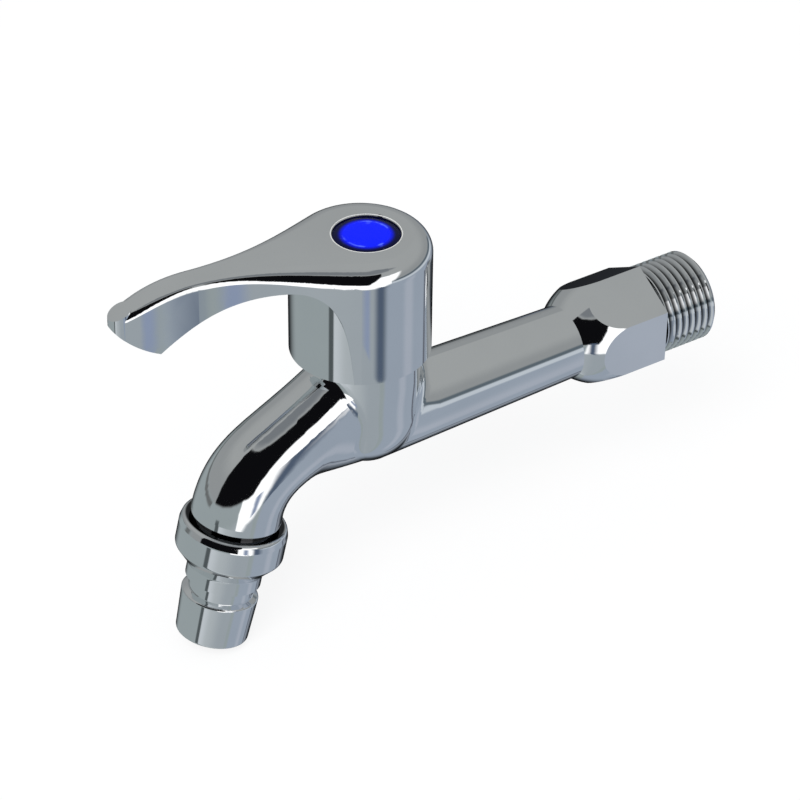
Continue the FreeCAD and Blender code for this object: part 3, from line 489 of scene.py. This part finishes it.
def tent_material():
    """The light tent's inside: panels, flags and softboxes, placed by compass bearing and height."""
    material, board = fresh_material("tent_panels")
    direction = board.node("ShaderNodeVectorMath", {"operation": "NORMALIZE"}, in_0=board.place()).outputs[0]

    def along(axis):
        made = board.node("ShaderNodeVectorMath", {"operation": "DOT_PRODUCT"}, in_0=direction, in_1=tuple(axis))
        return Signal(board, made.outputs["Value"])

    def band(value, low, high, soft):
        rise = board.step(value, low - soft / 2, low + soft / 2)
        return rise * (1 - board.step(value, high - soft / 2, high + soft / 2))

    bearing = board.math("ARCTAN2", along(RIGHT), along(FACING)) * (180 / pi)
    height = board.math("ARCSINE", along(UP)) * (180 / pi)
    west, middle, east = FRONT_FADE
    fade = board.mix(board.step(bearing, -40.0, -20.0), west, middle)
    fade = board.mix(board.step(bearing, -24.0, 12.0), fade, east)
    shade = board.mix(band(bearing, -43, 30, 3) * band(height, -95, -14, 6), TENT_BASE, fade)
    for west, east, low, high, soft, colour in TENT_PANELS:
        inside = band(bearing, west, east, soft) * band(height, low, high, soft)
        shade = board.mix(inside, shade, rgba(colour))
    slanted = bearing - height * SOFTBOX_SLANT
    flag = band(height, 2, 57, 3) * band(bearing, -62, 60, 3) * (1 - board.step(slanted, 9.0, 13.0))
    shade = board.mix(flag, shade, DARK_FLAG)
    beside = board.step(slanted, 10.0, 13.0) * (1 - board.step(slanted, 44.0, 52.0)) * band(height, -20, 38, 4)
    under = band(bearing, -4, 20, 3) * band(height, -20, 2, 3)
    shade = board.mix(board.math("MAXIMUM", beside, under), shade, SOFTBOX)
    onward = -FACING * cos(CAMERA_ELEVATION) - UP * sin(CAMERA_ELEVATION)
    apart = board.math("ARCCOSINE", along(onward)) * (180 / pi)
    shade = board.mix(1 - board.step(apart, *BEHIND_SPREAD), shade, BEHIND_TAP)
    board.node("ShaderNodeOutputMaterial", Surface=board.emission(shade))
    return material


def flag_material(name, colour):
    """A matt flag with soft side edges."""
    material, board = fresh_material(name)
    across, _, _ = board.parts(board.node("ShaderNodeTexCoord").outputs["UV"])
    aside = board.math("ABSOLUTE", across - 0.5)
    solid = 1 - board.step(aside, 0.05, 0.5)
    clear = board.node("ShaderNodeBsdfTransparent")
    both = board.node("ShaderNodeMixShader", in_0=solid, in_1=clear.outputs[0],
                      in_2=board.emission(rgba(colour)))
    board.node("ShaderNodeOutputMaterial", Surface=both.outputs[0])
    return material


def floor_material():
    """A pale floor that reads as white to the eye, and still takes the tap's soft shadow."""
    material, board = fresh_material("pale_floor")
    grain = board.noise(300.0, 3.0)
    board_colour = board.mix(grain, (0.86, 0.86, 0.86, 1.0), (0.9, 0.9, 0.9, 1.0))
    plain = board.node("ShaderNodeBsdfDiffuse", Color=board_colour, Roughness=0.5)
    both = board.node("ShaderNodeMixShader", in_0=board.seen() * FLOOR_GLOW, in_1=plain.outputs[0],
                      in_2=board.emission(FLOOR_WHITE))
    board.node("ShaderNodeOutputMaterial", Surface=both.outputs[0])
    return material


class WALLTAP_OT_studio(bpy.types.Operator):
    """Sets up the floor, the light tent with its flags, the lamp, the air and the camera"""
    bl_idname = "wall_tap.studio"
    bl_label = "Studio"

    def execute(self, context):
        nothing_selected()
        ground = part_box("hose_nozzle")[0].z - FLOOR_GAP * MM
        bpy.ops.mesh.primitive_plane_add(size=30.0, location=(0.0, 0.0, ground))
        floor = context.object
        floor.name = "floor"
        floor.data.materials.append(floor_material())
        floor.visible_glossy = False
        nothing_selected()
        bpy.ops.mesh.primitive_uv_sphere_add(segments=64, ring_count=32, radius=TENT_RADIUS,
                                             location=TENT_MIDDLE)
        tent = context.object
        tent.name = "light_tent"
        bpy.ops.object.shade_smooth()
        tent.data.materials.append(tent_material())
        mirrored = [tent]
        for name, middle, wide, tall, colour in STAND_FLAGS:
            nothing_selected()
            bpy.ops.mesh.primitive_plane_add(size=1.0, location=[MM * c for c in middle],
                                             rotation=(pi / 2, 0.0, pi / 2))
            flag = context.object
            flag.name = name
            flag.scale = (MM * wide, MM * tall, 1.0)
            flag.data.materials.append(flag_material(name, colour))
            mirrored.append(flag)
        for item in mirrored:
            for ray in ("camera", "diffuse", "transmission", "volume_scatter", "shadow"):
                setattr(item, "visible_" + ray, False)
        nothing_selected()
        bpy.ops.object.light_add(type="AREA", location=LAMP_PLACE)
        key = context.object
        key.name = "key_lamp"
        key.data.size = LAMP_SIZE
        key.data.energy = LAMP_WATTS
        key.rotation_euler = (Vector((0, -0.07, 0)) - key.location).to_track_quat("-Z", "Y").to_euler()
        key.visible_glossy = False
        world = context.scene.world or bpy.data.worlds.new("studio_air")
        context.scene.world = world
        world.use_nodes = True
        board = Board(world.node_tree)
        air = board.node("ShaderNodeBackground", Color=board.mix(board.seen(), AIR_LIGHT, WHITE), Strength=1.0)
        board.node("ShaderNodeOutputWorld", Surface=air.outputs[0])

        camera_data = bpy.data.cameras.new("view_camera")
        camera = bpy.data.objects.new("view_camera", camera_data)
        context.scene.collection.objects.link(camera)
        camera_data.sensor_width = 36.0
        camera_data.lens = CAMERA_LENS
        camera_data.clip_start = 0.01
        camera_data.dof.use_dof = False
        back = FACING * cos(CAMERA_ELEVATION) + UP * sin(CAMERA_ELEVATION)
        above = back.cross(RIGHT)
        across = RIGHT * cos(CAMERA_ROLL) + above * sin(CAMERA_ROLL)
        upright = above * cos(CAMERA_ROLL) - RIGHT * sin(CAMERA_ROLL)
        camera.location = CAMERA_PLACE
        turn = camera.matrix_world.to_3x3()
        turn.col[0], turn.col[1], turn.col[2] = across, upright, back
        camera.rotation_euler = turn.to_euler()
        context.scene.camera = camera
        context.scene.view_settings.view_transform = "Standard"
        return {"FINISHED"}


class WALLTAP_PT_panel(bpy.types.Panel):
    bl_idname = "WALLTAP_PT_panel"
    bl_label = "Wall Tap"
    bl_space_type = "VIEW_3D"
    bl_region_type = "UI"
    bl_category = "Wall Tap"

    def draw(self, context):
        for name in look().bl_rna.properties.keys():
            if name not in {"rna_type", "name"}:
                self.layout.prop(look(), name)
        for operator in OPERATORS:
            self.layout.operator(operator.bl_idname)


OPERATORS = (WALLTAP_OT_studio, WALLTAP_OT_finish_nodes, WALLTAP_OT_blue_cap)
CLASSES = (WallTapSettings, *OPERATORS, WALLTAP_PT_panel)


def register():
    for item in CLASSES:
        bpy.utils.register_class(item)
    bpy.types.Scene.wall_tap = bpy.props.PointerProperty(type=WallTapSettings)


def unregister():
    del bpy.types.Scene.wall_tap
    for item in reversed(CLASSES):
        bpy.utils.unregister_class(item)


def main():
    register()
    bpy.ops.wall_tap.studio()
    bpy.ops.wall_tap.finish_nodes()
    bpy.ops.wall_tap.blue_cap()


if __name__ == "__main__":
    main()
